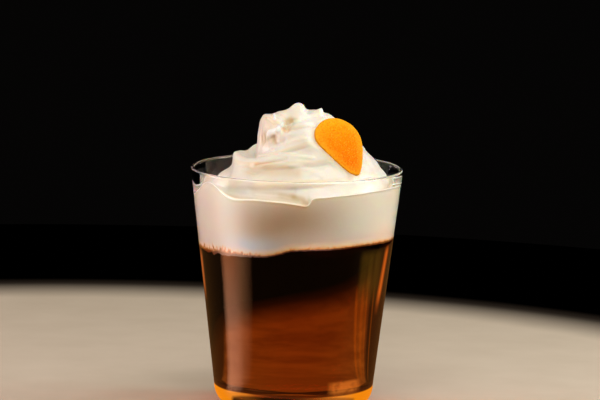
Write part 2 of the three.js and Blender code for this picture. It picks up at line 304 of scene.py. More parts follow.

# Painted golden glow of the crescent in the base, in centimetres: lift from left to right, lower edge and
# colour outwards
CRESCENT_UPPER = 0.905
CRESCENT_WIDENS = 0.08
CRESCENT_RAISED = [(0.04, 0.0), (0.2, 0.04), (0.36, 0.045), (0.52, 0.035), (0.72, 0.005), (0.8, 0.0)]
CRESCENT_LOWER = [(0.03, 0.82), (0.15, 0.8), (0.3, 0.73), (0.42, 0.66), (0.52, 0.5), (0.6, 0.3)]
CRESCENT_GOLD = [
    (0.02, (0.115, 0.022, 0.006)),
    (0.05, (0.16, 0.027, 0.006)),
    (0.1, (0.36, 0.066, 0.007)),
    (0.17, (0.65, 0.175, 0.014)),
    (0.3, (0.82, 0.25, 0.025)),
    (0.5, (0.87, 0.235, 0.003)),
]

# Painted glowing hairline and torn patch over the crescent and painted amber glow under it, from left to
# right, and the patch's height
HAIR_STRETCH = [(0.15, 0.0), (0.25, 1.0), (0.35, 0.7), (0.5, 0.0)]
PATCH_STRETCH = [(0.4, 0.0), (0.5, 1.0), (0.74, 1.0), (0.82, 0.0)]
UNDER_STRETCH = [(0.1, 0.35), (0.22, 0.35), (0.36, 0.04), (0.58, 0.03), (0.8, 0.5), (0.95, 1.0)]
PATCH_HEIGHT = [(0.06, 0.4), (0.15, 1.0), (0.5, 0.8), (0.62, 0.0)]

# Painted glowing orange line, olive gleam and thin line in the wall, by height in decimetres, and by how
# edge-on the wall is
LINE_AT = 0.48
THIN_LINE_AT = 0.84
LINE_HEIGHT = [(0.4, 0.0), (0.44, 0.2), (0.5, 1.0), (0.66, 0.9), (0.69, 0.0)]
GLEAM_HEIGHT = [(0.44, 0.0), (0.54, 1.0), (0.66, 0.9), (0.69, 0.0)]
GLEAM_WIDTH = [(0.265, 0.0), (0.3, 0.75), (0.36, 1.0), (0.52, 1.0), (0.62, 0.2)]
THIN_LINE_HEIGHT = [(0.44, 0.0), (0.52, 1.0), (0.62, 1.0), (0.66, 0.0)]

# Floor and the pale board on it, in metres, with the scale of its grain
FLOOR_RADIUS = 0.5
FLOOR_CORNERS = 240
BOARD_MIDDLE = (-0.08, -0.016, 0)
BOARD_EDGE = [(0.283, 0.0), (0.322, 1.0)]
GROUND_EDGE = [(0.325, 0.0), (0.335, 1.0)]
GRAIN_SCALE = (12, 26, 1)

# Painted beams of light on the floor: azimuth, half-width in degrees, near and far end in metres, softness,
# shift aside
BEHIND_BEAM = (91, 29, 0.02, 0.6, 0.14)
STRIP_BEAM = (-174, 16, 0.058, 0.44, 0.6, 0.0115)
BESIDE_BEAM = (-158, 18, 0.07, 0.44, 0.9)
STREAK_HAZE = (112.5, 4.5, 0.12, 0.32)
STREAKS = [(at, wide, 0.12, 0.32, 0.8) for at, wide in ((109.5, 0.9), (113.2, 1.3), (116.2, 0.7), (123, 1.3))]

# Soft boxes: name, azimuth in degrees, distance, height and size in metres, watts, colour, height of the aim
LAMPS = [
    ("high_right_box", -45, 0.25, 0.533, (0.2, 0.2), 0.69, (1.0, 0.85, 0.82), 0.1),
    ("high_front_box", -95, 0.30, 0.50, (0.2, 0.2), 0.88, (1.0, 0.92, 0.78), 0.1),
    ("right_box", 5, 0.47, 0.271, (0.2, 0.2), 1.25, (1.0, 0.94, 0.84), 0.1),
    ("left_box", 174, 0.548, 0.128, (0.22, 0.16), 1.45, (1.0, 0.75, 0.75), 0.08),
]
HIDDEN_BEHIND_GLASS = ("left_box",)
ROOM_SEEN = (0.0016, 0.0014, 0.0013)
ROOM_LIGHT = (0.335, 0.305, 0.21)

# Photograph's view: the rim's centre in the picture, the scale there, and the camera's place
PICTURE_WIDTH = 600
PICTURE_HEIGHT = 400
RIM_CENTRE_X = 296.9
RIM_CENTRE_Y = 167.3
PIXELS_PER_MM = 2.471
VIEW_DISTANCE = 2600
VIEW_ELEVATION = 8.07
VIEW_ROLL = 0.92
VIEW_CLIP = (0.1, 20)
SENSOR_WIDTH = 36


# Plain measures


def smooth(value, start, end):
    part = np.clip((np.asarray(value, float) - start) / (end - start), 0, 1)
    return part * part * (3 - 2 * part)


def rising(value):
    return 0.5 + 0.5 * np.tanh(value)


def mixed(first, second, share):
    return first + (second - first) * share


def bell(distance, reach):
    """1 at no distance, falling off like a bell to about a third at the reach."""
    return np.exp(-((distance / reach) ** 2))


def around_axis(radius, azimuth, z):
    """Points by radius, azimuth and height."""
    return np.stack([radius * np.cos(azimuth), radius * np.sin(azimuth), z], -1)


def turn_from(azimuth, centre):
    """Angle in radians from a centre in degrees, within half a turn each way."""
    turn = azimuth - math.radians(centre)
    return np.arctan2(np.sin(turn), np.cos(turn))


def waves_at(waves, azimuth):
    """Sum of bell-shaped waves round the axis, each an azimuth, a lift and a sweep."""
    return sum(lift * bell(turn_from(azimuth, at), math.radians(sweep)) for at, lift, sweep in waves)


def inner_radius(z):
    return RIM_RADIUS - RIM_WALL - (GLASS_HEIGHT - z) * INNER_SLOPE


def outer_radius(z):
    return RIM_RADIUS - (GLASS_HEIGHT - z) * OUTER_SLOPE


def quarter_arc(start, end, leaves_level, steps):
    """Points inside a quarter arc, as radius and height. The arc leaves its start level or upright."""
    points = []
    for i in range(1, steps + 1):
        turn = i / (steps + 1) * math.pi / 2
        fast, slow = math.sin(turn), 1 - math.cos(turn)
        across, up = (fast, slow) if leaves_level else (slow, fast)
        points.append((mixed(start[0], end[0], across), mixed(start[1], end[1], up)))
    return points


# Form of the cream


def boundary_height(share, azimuth):
    rise = DRINK_RISE * rising((np.cos(azimuth) - DRINK_RISE_AT) / DRINK_RISE_WIDTH)
    at_wall = DRINK_LEVEL + rise + waves_at(DRINK_WAVES, azimuth)
    return mixed(DRINK_LEVEL + DRINK_RISE / 2, at_wall, share * share)


def collar_height(azimuth):
    """Height at which the cream meets the wall."""
    past = turn_from(azimuth, OVERLAP_AZIMUTH)
    before = rising(-past / math.radians(OVERLAP_SOFTNESS))
    dip = OVERLAP_STEP * np.exp(np.minimum(past, 0) / math.radians(OVERLAP_SWEEP)) * before
    bead = OVERLAP_BEAD * np.exp(-np.maximum(past, 0) / math.radians(OVERLAP_HANG_SWEEP)) * (1 - before)
    return COLLAR_HEIGHT + waves_at(COLLAR_WAVES, azimuth) - dip + bead


def overlap_hang(azimuth, z):
    """How far, as an angle, the end of the upper lobe leans out over the lower one at a height."""
    past = turn_from(azimuth, OVERLAP_AZIMUTH)
    full = COLLAR_HEIGHT + waves_at(COLLAR_WAVES, azimuth)
    lean = smooth(z, full - 0.75 * OVERLAP_STEP, full)
    fade = np.exp(-np.abs(past) / math.radians(OVERLAP_HANG_SWEEP))
    return OVERLAP_HANG / RIM_RADIUS * lean * fade


def mound_height(radius, share, azimuth):
    """Height of the plain mound, with the moat round it and the rise to the line along the wall."""
    part = radius / (MOUND_RADIUS + waves_at(MOUND_WAVES, azimuth))
    dome = MOUND_TOP - MOUND_DROP * part**MOUND_POWER - FOOT_DROP * smooth(part, FOOT_DROP_FROM, FOOT_DROP_TO)
    collar = collar_height(azimuth)
    moat = mixed(np.minimum(MOAT_HEIGHT, collar), collar, smooth(share, MOAT_EDGE, 1))
    above = (dome - moat) / (2 * MOAT_ROUNDING)
    lip = np.clip((share - LIP_FROM) / (1 - LIP_FROM), 0, 1)
    rounding = LIP_ROUNDING * (1 - np.sqrt(1 - lip * lip))
    return moat + MOAT_ROUNDING * (above + np.hypot(above, 1) - 1) - rounding


def fold_relief(radius, azimuth):
    sway = FOLD_SWAY * np.sin(azimuth + FOLD_SWAY_AT) + FOLD_RIPPLE * np.sin(2 * azimuth + FOLD_RIPPLE_AT)
    turns = (FOLD_START - radius) / FOLD_PITCH - azimuth / (2 * math.pi) + sway
    share = turns - np.floor(turns)
    depth = FOLD_DEPTH * (1 + waves_at(FOLD_WAVES, azimuth)) * smooth(radius, FOLD_TOP_FROM, FOLD_TOP_TO)
    return depth * (np.sin(math.pi * share**FOLD_SKEW) - 0.5)


def knob_lift(radius, azimuth):
    body = KNOB_LIFT * bell(radius - KNOB_RADIUS, KNOB_SPREAD)
    shelf = -LEDGE_DROP * bell(radius - LEDGE_RADIUS, LEDGE_SPREAD)
    lift = mixed(body, shelf, rising((radius - LEDGE_RADIUS) / LEDGE_EDGE))
    return lift * waves_at([(KNOB_AZIMUTH, 1, KNOB_SWEEP)], azimuth)


def lump_relief(x, y):
    return sum(lift * bell(x - at_x, wide) * bell(y - at_y, deep) for at_x, at_y, wide, deep, lift in LUMPS)


def peel_frame():
    """From the peel's own frame, whose +X runs along it and +Z out of its skin, into the part's frame."""
    out = Vector(PEEL_OUTWARDS).normalized()
    along = Vector(PEEL_LENGTHWAYS)
    along = (along - out * along.dot(out)).normalized()
    across = out.cross(along)
    return np.array([along, across, out]).T, np.array(PEEL_PLACE)


PEEL_AXES, PEEL_MIDDLE = peel_frame()


def peel_bend(x, y):
    return (x * x + y * y) / (2 * PEEL_BEND_RADIUS)


def press_under_peel(points):
    """Brings the cream to the peel's bed: nowhere above it, and level with it at the straight edge."""
    x, y, z = ((points - PEEL_MIDDLE) @ PEEL_AXES).T
    bed = PEEL_THICKNESS / 2 - PEEL_SHOWS - peel_bend(x, y)
    from_middle = np.hypot(x / BED_REACH[0], y / BED_REACH[1])
    z = mixed(np.minimum(z, bed), z, smooth(from_middle, BED_INNER, BED_OUTER))
    beside = 1 - smooth(abs(x), BED_EDGE_FROM, BED_EDGE_TO)
    near = 1 - smooth(abs(z), BED_NEAR, BED_FAR)
    z = mixed(z, bed, beside * near * bell(y - BED_EDGE_Y, BED_EDGE_WIDTH))
    return np.stack([x, y, z], -1) @ PEEL_AXES.T + PEEL_MIDDLE


def cream_top(share, azimuth):
    """Points of the cream's top, where share runs from 0 at the peak to 1 at the wall."""
    radius = share * (inner_radius(collar_height(azimuth)) + INTO_WALL)
    x, y = radius * np.cos(azimuth), radius * np.sin(azimuth)
    middle = MOUND_OFFSET * (1 - share * share)
    steepness = MOUND_DROP * MOUND_POWER / MOUND_RADIUS
    tilt = np.arctan(steepness * (radius / MOUND_RADIUS) ** (MOUND_POWER - 1))
    on_mound = 1 - smooth(share, RELIEF_TO, RELIEF_END)
    relief = (fold_relief(radius, azimuth) + lump_relief(middle + x, y)) * on_mound
    z = mound_height(radius, share, azimuth) + relief * np.cos(tilt) + knob_lift(radius, azimuth)
    azimuth = azimuth - overlap_hang(azimuth, z) * smooth(share, OVERLAP_HANG_FROM, OVERLAP_HANG_TO)
    points = around_axis(radius + relief * np.sin(tilt), azimuth, z)
    points[:, 0] += middle
    return press_under_peel(points)


# Ways of making a piece


def put_down_all():
    """Leaves nothing selected, so that an operator works on the new piece alone."""
    if bpy.context.mode != "OBJECT":
        bpy.ops.object.mode_set(mode="OBJECT")
    bpy.ops.object.select_all(action="DESELECT")


def turned(name, profile):
    """A piece turned on the Z axis, as on a lathe, from a profile of radius and height."""
    put_down_all()
    first = Vector((profile[0][0], 0, profile[0][1])) * MM
    bpy.ops.mesh.primitive_plane_add(size=MM, location=first)
    piece = bpy.context.object
    piece.name = name
    bpy.ops.object.transform_apply(location=True)
    bpy.ops.object.mode_set(mode="EDIT")
    bpy.ops.mesh.select_mode(type="VERT")
    bpy.ops.mesh.select_all(action="SELECT")
    bpy.ops.mesh.merge(type="CENTER")
    for start, end in zip(profile, profile[1:]):
        step = ((end[0] - start[0]) * MM, 0, (end[1] - start[1]) * MM)
        bpy.ops.mesh.extrude_vertices_move(TRANSFORM_OT_translate={"value": step})
    bpy.ops.mesh.select_all(action="SELECT")
    bpy.ops.mesh.spin(steps=TURNING_STEPS, angle=2 * math.pi, center=(0, 0, 0), axis=(0, 0, 1))
    bpy.ops.mesh.select_all(action="SELECT")
    bpy.ops.mesh.remove_doubles(threshold=0.01 * MM)
    bpy.ops.mesh.normals_make_consistent(inside=False)
    bpy.ops.object.mode_set(mode="OBJECT")
    return piece


def points_of(piece):
    places = np.empty(len(piece.data.vertices) * 3)
    piece.data.vertices.foreach_get("co", places)
    return places.reshape(-1, 3) / MM


def move_points(piece, points):
    piece.data.vertices.foreach_set("co", (np.asarray(points) * MM).ravel())
    piece.data.update()


def ball(name, around, layers):
    """A closed ball whose points are then moved to a form, by their layer, from 0 below to 1, and azimuth."""
    put_down_all()
    bpy.ops.mesh.primitive_uv_sphere_add(segments=around, ring_count=layers, radius=1)
    piece = bpy.context.object
    piece.name = name
    x, y, z = (points_of(piece) * MM).T
    layer = np.round(np.arccos(np.clip(-z, -1, 1)) / math.pi * layers) / layers
    return piece, layer, np.arctan2(y, x)


def smooth_over(piece, sharpest):
    """Smooth shading, except over edges sharper than this many degrees."""
    put_down_all()
    piece.select_set(True)
    bpy.context.view_layer.objects.active = piece
    bpy.ops.object.shade_smooth_by_angle(angle=math.radians(sharpest))


def measure_along(piece, name, values):
    """Keeps a number for each point of a piece, for its material to read."""
    kept = piece.data.attributes.new(name, "FLOAT", "POINT")
    kept.data.foreach_set("value", np.asarray(values, np.float32))


# The pieces


def make_tumbler():
    lip_height = GLASS_HEIGHT - RIM_WALL / 2
    heel = (outer_radius(HEEL_HEIGHT), HEEL_HEIGHT)
    outer_lip = (outer_radius(lip_height), lip_height)
    inner_lip = (inner_radius(lip_height), lip_height)
    crown = ((outer_lip[0] + inner_lip[0]) / 2, GLASS_HEIGHT)
    corner = (inner_radius(FLOOR_HEIGHT + FLOOR_CORNER), FLOOR_HEIGHT + FLOOR_CORNER)
    floor_edge = (corner[0] - FLOOR_CORNER, FLOOR_HEIGHT)
    profile = [
        (0, PUNT_DEPTH),
        (FOOT_RADIUS - FOOT_WIDTH - PUNT_SLANT, PUNT_DEPTH),
        (FOOT_RADIUS - FOOT_WIDTH, 0),
        (FOOT_RADIUS, 0),
        *quarter_arc((FOOT_RADIUS, 0), heel, True, HEEL_STEPS),
        heel,
        outer_lip,
        *quarter_arc(outer_lip, crown, False, LIP_STEPS),
        crown,
        *quarter_arc(crown, inner_lip, True, LIP_STEPS),
        inner_lip,
        corner,
        *quarter_arc(corner, floor_edge, False, CORNER_STEPS),
        floor_edge,
        (0, FLOOR_HEIGHT),
    ]
    tumbler = turned("tumbler", profile)
    smooth_over(tumbler, SHARPEST_EDGE)
    return tumbler


def make_drink():
    """The drink, turned to the inside of the glass, and then its level top brought to the wavy boundary."""
    floor = FLOOR_HEIGHT - INTO_WALL
    corner = (inner_radius(FLOOR_HEIGHT + FLOOR_CORNER) + INTO_WALL, FLOOR_HEIGHT + FLOOR_CORNER)
    floor_edge = (corner[0] - FLOOR_CORNER - INTO_WALL, floor)
    top = DRINK_LEVEL + DRINK_RISE
    top_radius = inner_radius(top) + INTO_WALL
    profile = [(0, floor), floor_edge, *quarter_arc(floor_edge, corner, True, CORNER_STEPS), corner]
    profile += [(top_radius * share, top) for share in DRINK_TOP_RINGS]
    drink = turned("amber_drink", profile)
    points = points_of(drink)
    at_top = points[:, 2] > top - INTO_WALL
    x, y, _ = points[at_top].T
    azimuth = np.arctan2(y, x)
    share = np.clip(np.hypot(x, y) / top_radius, 0, 1)
    height = boundary_height(share, azimuth) + INTO_CREAM
    points[at_top] = around_axis(share * (inner_radius(height) + INTO_WALL), azimuth, height)
    move_points(drink, points)
    smooth_over(drink, SHARPEST_EDGE)
    return drink


def ruffle(points, length):
    """Smooth unevenness between about -1 and 1, with lumps of this length."""
    return np.array([noise.noise(Vector(point / length)) for point in points]) * 2


def ruffled(points, ruffles):
    """Sum of ruffles, each a length and a depth."""
    return sum(depth * ruffle(points, length) for length, depth in ruffles)


def ragged_edge(azimuth):
    """How far the cream's lower edge frays down into the drink, most on the left of the front."""
    ring = around_axis(inner_radius(DRINK_LEVEL), azimuth, 0 * azimuth)
    frayed = FRAY_ALL_ROUND + waves_at(FRAY_WAVES, azimuth)
    return FRAY_LEAST + frayed * (FRAY_MIDDLE + ruffled(ring, FRAY_RUFFLES))


def make_cream():
    """The cream as one closed body: underside, side against the glass, and the mound."""
    cream, layer, azimuth = ball("cream_mound", CREAM_STEPS_AROUND, CREAM_LAYERS)
    points = np.zeros((len(layer), 3))
    under = layer <= UNDER_END
    share = layer[under] / UNDER_END
    fray = np.maximum(ragged_edge(azimuth), 0)
    z = boundary_height(share, azimuth[under]) - fray[under] * share**4
    points[under] = around_axis(share * (inner_radius(z) + CREAM_INTO_WALL), azimuth[under], z)
    side = (layer > UNDER_END) & (layer < SIDE_END)
    bottom = boundary_height(1, azimuth[side]) - fray[side]
    up_side = (layer[side] - UNDER_END) / (SIDE_END - UNDER_END)
    z = mixed(bottom, collar_height(azimuth[side]) - LIP_ROUNDING, up_side)
    leant = azimuth[side] - overlap_hang(azimuth[side], z)
    points[side] = around_axis(inner_radius(z) + CREAM_INTO_WALL, leant, z)
    top = layer >= SIDE_END
    share = (1 - layer[top]) / (1 - SIDE_END)
    points[top] = cream_top(share, azimuth[top])
    move_points(cream, points)
    depth = roughen_cream(cream, points, top, share) - fold_relief(share * RIM_RADIUS, azimuth[top])
    tone_mound(cream, top, share, depth)
    tone_side(cream, layer)
    smooth_over(cream, 180)
    return cream


def tone_mound(cream, top, share, depth):
    """Keeps the mound's painted shade and light: painted shade in its hollows and on its foot, painted light
    on its edge at the wall, and the painted highlight, light and shade lines on its front.
    """
    seen = points_of(cream)[top]
    tones = {
        "hollow": np.clip(depth, 0, 1),
        "turning_down": smooth(share, *FOOT_TURNS) * (1 - smooth(share, *FOOT_ENDS)),
        "drawn_up": smooth(share, *EDGE_DRAWN_UP),
    }
    for name, lines in (("wet", PAINTED_HIGHLIGHT_LINES), ("lit", LIT_LINES), ("shaded", SHADED_LINES)):
        tones[name] = np.clip(drawn_on_front(seen, lines), 0, 1)
    for name, tone in tones.items():
        over_all = np.zeros(len(top))
        over_all[top] = tone
        measure_along(cream, name, over_all)


def tone_side(cream, layer):
    """Keeps the painted light and shade of the cream against the glass and beside the peel, its pinkish tint,
    the fray of its stain, and its height over the drink.
    """
    points = points_of(cream)
    azimuth = np.arctan2(points[:, 1], points[:, 0])
    above = points[:, 2] - boundary_height(1, azimuth)
    by_wall = np.where(layer < SIDE_END + SIDE_TONES_PAST, 1.0, 0.0)
    measure_along(cream, "above_drink", above)
    measure_along(cream, "at_wall", np.where(layer <= SIDE_END, 1.0, 0.0))
    measure_along(cream, "beside_peel", beside_peel(points))
    for name, at, sweep, height, reach in SIDE_TONES:
        beside = waves_at([(at, 1, sweep)], azimuth) * bell(above - height, reach)
        measure_along(cream, name, by_wall * beside)
    on_right = smooth(np.cos(azimuth), *PINKISH_FROM)
    measure_along(cream, "pinkish", by_wall * on_right * (1 - smooth(above, *PINKISH_UP_TO)))
    # Painted orange light shone through the drink onto the cream against the glass
    measure_along(cream, "shone_through", by_wall * (0.5 + waves_at(SHONE_WAVES, azimuth)))
    measure_along(cream, "frayed", 0.3 + waves_at(STAIN_WAVES, azimuth))


def seen_from_front(points):
    """Places as the camera sees them, by millimetres right of the rim's middle and above it."""
    tilt = math.radians(VIEW_ELEVATION)
    return points[:, 0], (points[:, 2] - GLASS_HEIGHT) * math.cos(tilt) + points[:, 1] * math.sin(tilt)


def drawn_on_front(points, lines):
    """Sum of soft lines, each with a half-width and a strength, drawn on the front half of the mound."""
    x, up = seen_from_front(points)
    drawn = np.zeros(len(points))
    for line, width, strength in lines:
        nearest = np.full(len(points), np.inf)
        for (x0, up0), (x1, up1) in zip(line, line[1:]):
            run, climb = x1 - x0, up1 - up0
            along = np.clip(((x - x0) * run + (up - up0) * climb) / (run * run + climb * climb), 0, 1)
            nearest = np.minimum(nearest, np.hypot(x - x0 - along * run, up - up0 - along * climb))
        drawn += strength * bell(nearest, width)
    return drawn * smooth(-points[:, 1], *FRONT_HALF)


def mark_relief(points, normals):
    """Relief of the spoon's marks, on what faces the camera."""
    tilt = math.radians(VIEW_ELEVATION)
    facing = normals @ (0, -math.cos(tilt), math.sin(tilt))
    return drawn_on_front(points, MARKS) * smooth(facing, *MARK_FACING)


def beside_peel(points):
    """How near the cream is to the peel's straight edge, where painted orange bounce light and shade from the
    peel lie on it.
    """
    x, y, z = ((points - PEEL_MIDDLE) @ PEEL_AXES).T
    outside = np.maximum(np.hypot(x, y) - peel_outline(np.arctan2(y, x)), 0)
    near = bell(outside, PEEL_TINT_REACH) * (1 - smooth(abs(z), *PEEL_TINT_DEPTH))
    return near * smooth(-y, *PEEL_TINT_SIDE)


def roughen_cream(cream, points, top, share):
    """Small unevenness of the mound, strongest where the knob broke off the spoon, and none under the peel.

    Returns how deep the marks are.
    """
    normals = np.empty(len(points) * 3)
    cream.data.vertices.foreach_get("normal", normals)
    normals = normals.reshape(-1, 3)[top]
    on_mound = points[top]
    x, y, _ = ((on_mound - PEEL_MIDDLE) @ PEEL_AXES).T
    clear_of_peel = smooth(np.hypot(x / BED_REACH[0], y / BED_REACH[1]), *CLEAR_OF_PEEL)
    broken = bell(on_mound - BROKEN_MIDDLE, BROKEN_REACH).prod(-1)
    marks = mark_relief(on_mound, normals) * clear_of_peel
    depth = ruffled(on_mound, MOUND_RUFFLES) + broken * ruffled(on_mound, BROKEN_RUFFLES)
    depth = (depth * clear_of_peel + marks) * (1 - smooth(share, *ROUGH_UNTIL))
    points[top] = on_mound + normals * depth[:, None]
    move_points(cream, points)
    return -marks


def peel_outline(azimuths):
    """The outline's distance from its middle at each azimuth, by a smooth curve through the named points."""
    knots = np.array(PEEL_OUTLINE)
    count = len(knots)
    along = np.linspace(0, count, 40 * count, endpoint=False)
    start = np.floor(along).astype(int)
    t = (along - start)[:, None]
    a, b, c, d = (knots[(start + step) % count] for step in (-1, 0, 1, 2))
    curve = 0.5 * (2 * b + (c - a) * t + (2 * a - 5 * b + 4 * c - d) * t**2 + (3 * b - a - 3 * c + d) * t**3)
    angle = np.arctan2(curve[:, 1], curve[:, 0])
    order = np.argsort(angle)
    return np.interp(azimuths, angle[order], np.hypot(*curve[order].T), period=2 * math.pi)


def make_peel():
    """The peel: back, rounded cut edge and skin, moved from a ball, then bent as on the fruit."""
    peel, layer, azimuth = ball("orange_slip", PEEL_STEPS_AROUND, PEEL_LAYERS)
    edge = np.clip((layer - PEEL_BACK_END) / (1 - 2 * PEEL_BACK_END), 0, 1)
    turn = (edge - 0.5) * math.pi
    z = PEEL_THICKNESS / 2 * np.sin(turn)
    reach = np.clip(np.minimum(layer, 1 - layer) / PEEL_BACK_END, 0, 1)
    outline = peel_outline(azimuth)
    radius = (outline - PEEL_EDGE * (1 - np.cos(turn) ** PEEL_EDGE_POWER)) * reach
    x, y = radius * np.cos(azimuth), radius * np.sin(azimuth)
    points = np.stack([x, y, z - peel_bend(x, y)], -1) @ PEEL_AXES.T + PEEL_MIDDLE
    move_points(peel, points)
    measure_along(peel, "towards_skin", z / PEEL_THICKNESS + 0.5)
    measure_along(peel, "towards_tip", x / PEEL_TIP_SPAN[0] - y / PEEL_TIP_SPAN[1] + 0.5)
    measure_along(peel, "from_edge", (1 - reach) * outline)
    smooth_over(peel, 180)
    return peel


# Finishes


class Reading:
    """A value in a material. Sums on it add the nodes that work them out."""

    def __init__(self, finish, socket):
        self.finish = finish
        self.socket = socket

    def worked(self, operation, first, second=0.0):
        return self.finish.node("ShaderNodeMath", {"operation": operation}, {0: first, 1: second})

    def __add__(self, other):
        return self.worked("ADD", self, other)

    def __radd__(self, other):
        return self.worked("ADD", other, self)

    def __sub__(self, other):
        return self.worked("SUBTRACT", self, other)

    def __rsub__(self, other):
        return self.worked("SUBTRACT", other, self)

    def __mul__(self, other):
        return self.worked("MULTIPLY", self, other)

    def __rmul__(self, other):
        return self.worked("MULTIPLY", other, self)

    def __truediv__(self, other):
        return self.worked("DIVIDE", self, other)

    def __abs__(self):
        return self.worked("ABSOLUTE", self)


class Finish:
    """A material with one Principled shader, whose own sockets take the plain values.

    Colours are red, green and blue shares, and a ramp's stops are places with a colour or a grey.
    """

    def __init__(self, name, **plain):
        self.material = bpy.data.materials.new(name)
        self.material.use_nodes = True
        self.tree = self.material.node_tree
        self.shader = self.tree.nodes["Principled BSDF"]
        self.output = self.tree.nodes["Material Output"]
        self.wear(**plain)

    def wear(self, **values):
        """Feeds the shader's sockets."""
        for socket, value in values.items():
            self.feed(self.shader.inputs[socket.replace("_", " ")], value)

    def feed(self, socket, value):
        if isinstance(value, Reading):
            self.tree.links.new(value.socket, socket)
        else:
            socket.default_value = (*value, 1) if socket.type == "RGBA" else value

    def node(self, kind, settings=None, sockets=None, output=0):
        """Adds a node: its settings are set first, then the values or links of its sockets."""
        made = self.tree.nodes.new(kind)
        for name, value in (settings or {}).items():
            if name == "stops":
                self.set_stops(made.color_ramp, value)
            else:
                setattr(made, name, value)
        for name, value in (sockets or {}).items():
            self.feed(made.inputs[name], value)
        return Reading(self, made.outputs[output])

    @staticmethod
    def set_stops(ramp, stops):
        while len(ramp.elements) < len(stops):
            ramp.elements.new(1)
        for element, (place, shade) in zip(ramp.elements, stops):
            element.position = place
            element.color = (*shade, 1) if isinstance(shade, tuple) else (shade, shade, shade, 1)

    def places(self):
        return self.node("ShaderNodeTexCoord", output="Object")

    def place(self, axis, unit):
        """How far along an axis a point lies, in units of this many millimetres."""
        return self.node("ShaderNodeSeparateXYZ", {}, {"Vector": self.places()}, axis) * (1 / (unit * MM))

    def stretched(self, *scale):
        """Places scaled along each axis, on which a pattern is stretched the other way."""
        return self.node("ShaderNodeMapping", {}, {"Vector": self.places(), "Scale": scale})

    def set_against(self, operation, vector):
        """A number from the places and another vector, such as their DISTANCE."""
        sockets = {0: self.places(), 1: vector}
        return self.node("ShaderNodeVectorMath", {"operation": operation}, sockets, "Value")

    def edge_on(self):
        """0 where the surface faces the viewer, 1 where it is seen edge on."""
        return self.node("ShaderNodeLayerWeight", {}, {"Blend": 0.5}, "Facing")

    def ray(self, kind):
        """1 for rays of this kind, else 0."""
        return self.node("ShaderNodeLightPath", output=kind)

    def measured(self, name):
        return self.node("ShaderNodeAttribute", {"attribute_name": name}, {}, "Fac")

    def noise(self, scale, detail=2.0, roughness=0.5, places=None):
        sockets = {"Vector": places or self.places(), "Scale": scale, "Detail": detail}
        return self.node("ShaderNodeTexNoise", {}, {**sockets, "Roughness": roughness}, "Fac")

    def pores(self, scale):
        return self.node("ShaderNodeTexVoronoi", {}, {"Vector": self.places(), "Scale": scale}, "Distance")

    def ramp(self, value, *stops):
        return self.node("ShaderNodeValToRGB", {"stops": stops}, {"Fac": value}, "Color")

    def clipped(self, value):
        """A value kept between 0 and 1."""
        return self.ramp(value, (0.0, 0.0), (1.0, 1.0))

    def band(self, value, middle, sharpness):
        """1 where a value has its middle, falling to 0 on both sides."""
        return self.ramp(abs(value - middle) * sharpness, (0.0, 1.0), (1.0, 0.0))

    def blend(self, share, first, second, mode="MIX"):
        """Mixes two colours."""
        settings = {"data_type": "RGBA", "blend_type": mode}
        return self.node("ShaderNodeMix", settings, {0: share, 6: first, 7: second}, 2)

    def toned(self, colour, tones):
        """Lays tones over a colour, each by something measured along the piece, an amount and the tone."""
        for measure, amount, tone in tones:
            colour = self.blend(self.measured(measure) * amount, colour, tone)
        return colour

    def bump(self, height, strength, distance, over=None):
        sockets = {"Height": height, "Strength": strength, "Distance": distance * MM}
        if over:
            sockets["Normal"] = over
        return self.node("ShaderNodeBump", {}, sockets)

    def show_instead(self, share, other):
        """Shows another shader in place of the surface, by a share."""
        surface = Reading(self, self.shader.outputs[0])
        both = self.node("ShaderNodeMixShader", {}, {0: share, 1: surface, 2: other})
        self.feed(self.output.inputs["Surface"], both)

    def glow_instead(self, share, colour):
        self.show_instead(share, self.node("ShaderNodeEmission", {}, {"Color": colour}))

    def let_lamps_through(self, tint):
        """Lets the lamps shine through, in a tint, onto what stands behind the surface."""
        clear = self.node("ShaderNodeBsdfTransparent", {}, {"Color": tint})
        self.show_instead(self.ray("Is Shadow Ray"), clear)


def clear_glass():
    finish = Finish(
        "clear_glass",
        Base_Color=(0.97, 0.985, 0.98),
        IOR=1.5,
        Transmission_Weight=1.0,
        Specular_Tint=(0.45, 0.45, 0.45),
        Emission_Strength=1.0,
    )
    smears = finish.noise(90, 4, 0.6)
    waves = finish.noise(28, 1)
    # Painted glow in the glass: in the base, at the edges and on the rim
    light = finish.blend(1.0, light_in_base(finish), light_at_edges(finish), "ADD")
    finish.wear(
        Roughness=finish.ramp(smears, (0.45, 0.0), (0.8, 0.03)),
        Normal=finish.bump(waves, 0.05, 0.3),
        Emission_Color=finish.blend(1.0, light, light_on_rim(finish), "ADD"),
    )
    finish.let_lamps_through((0.93, 0.95, 0.94))
    return finish.material


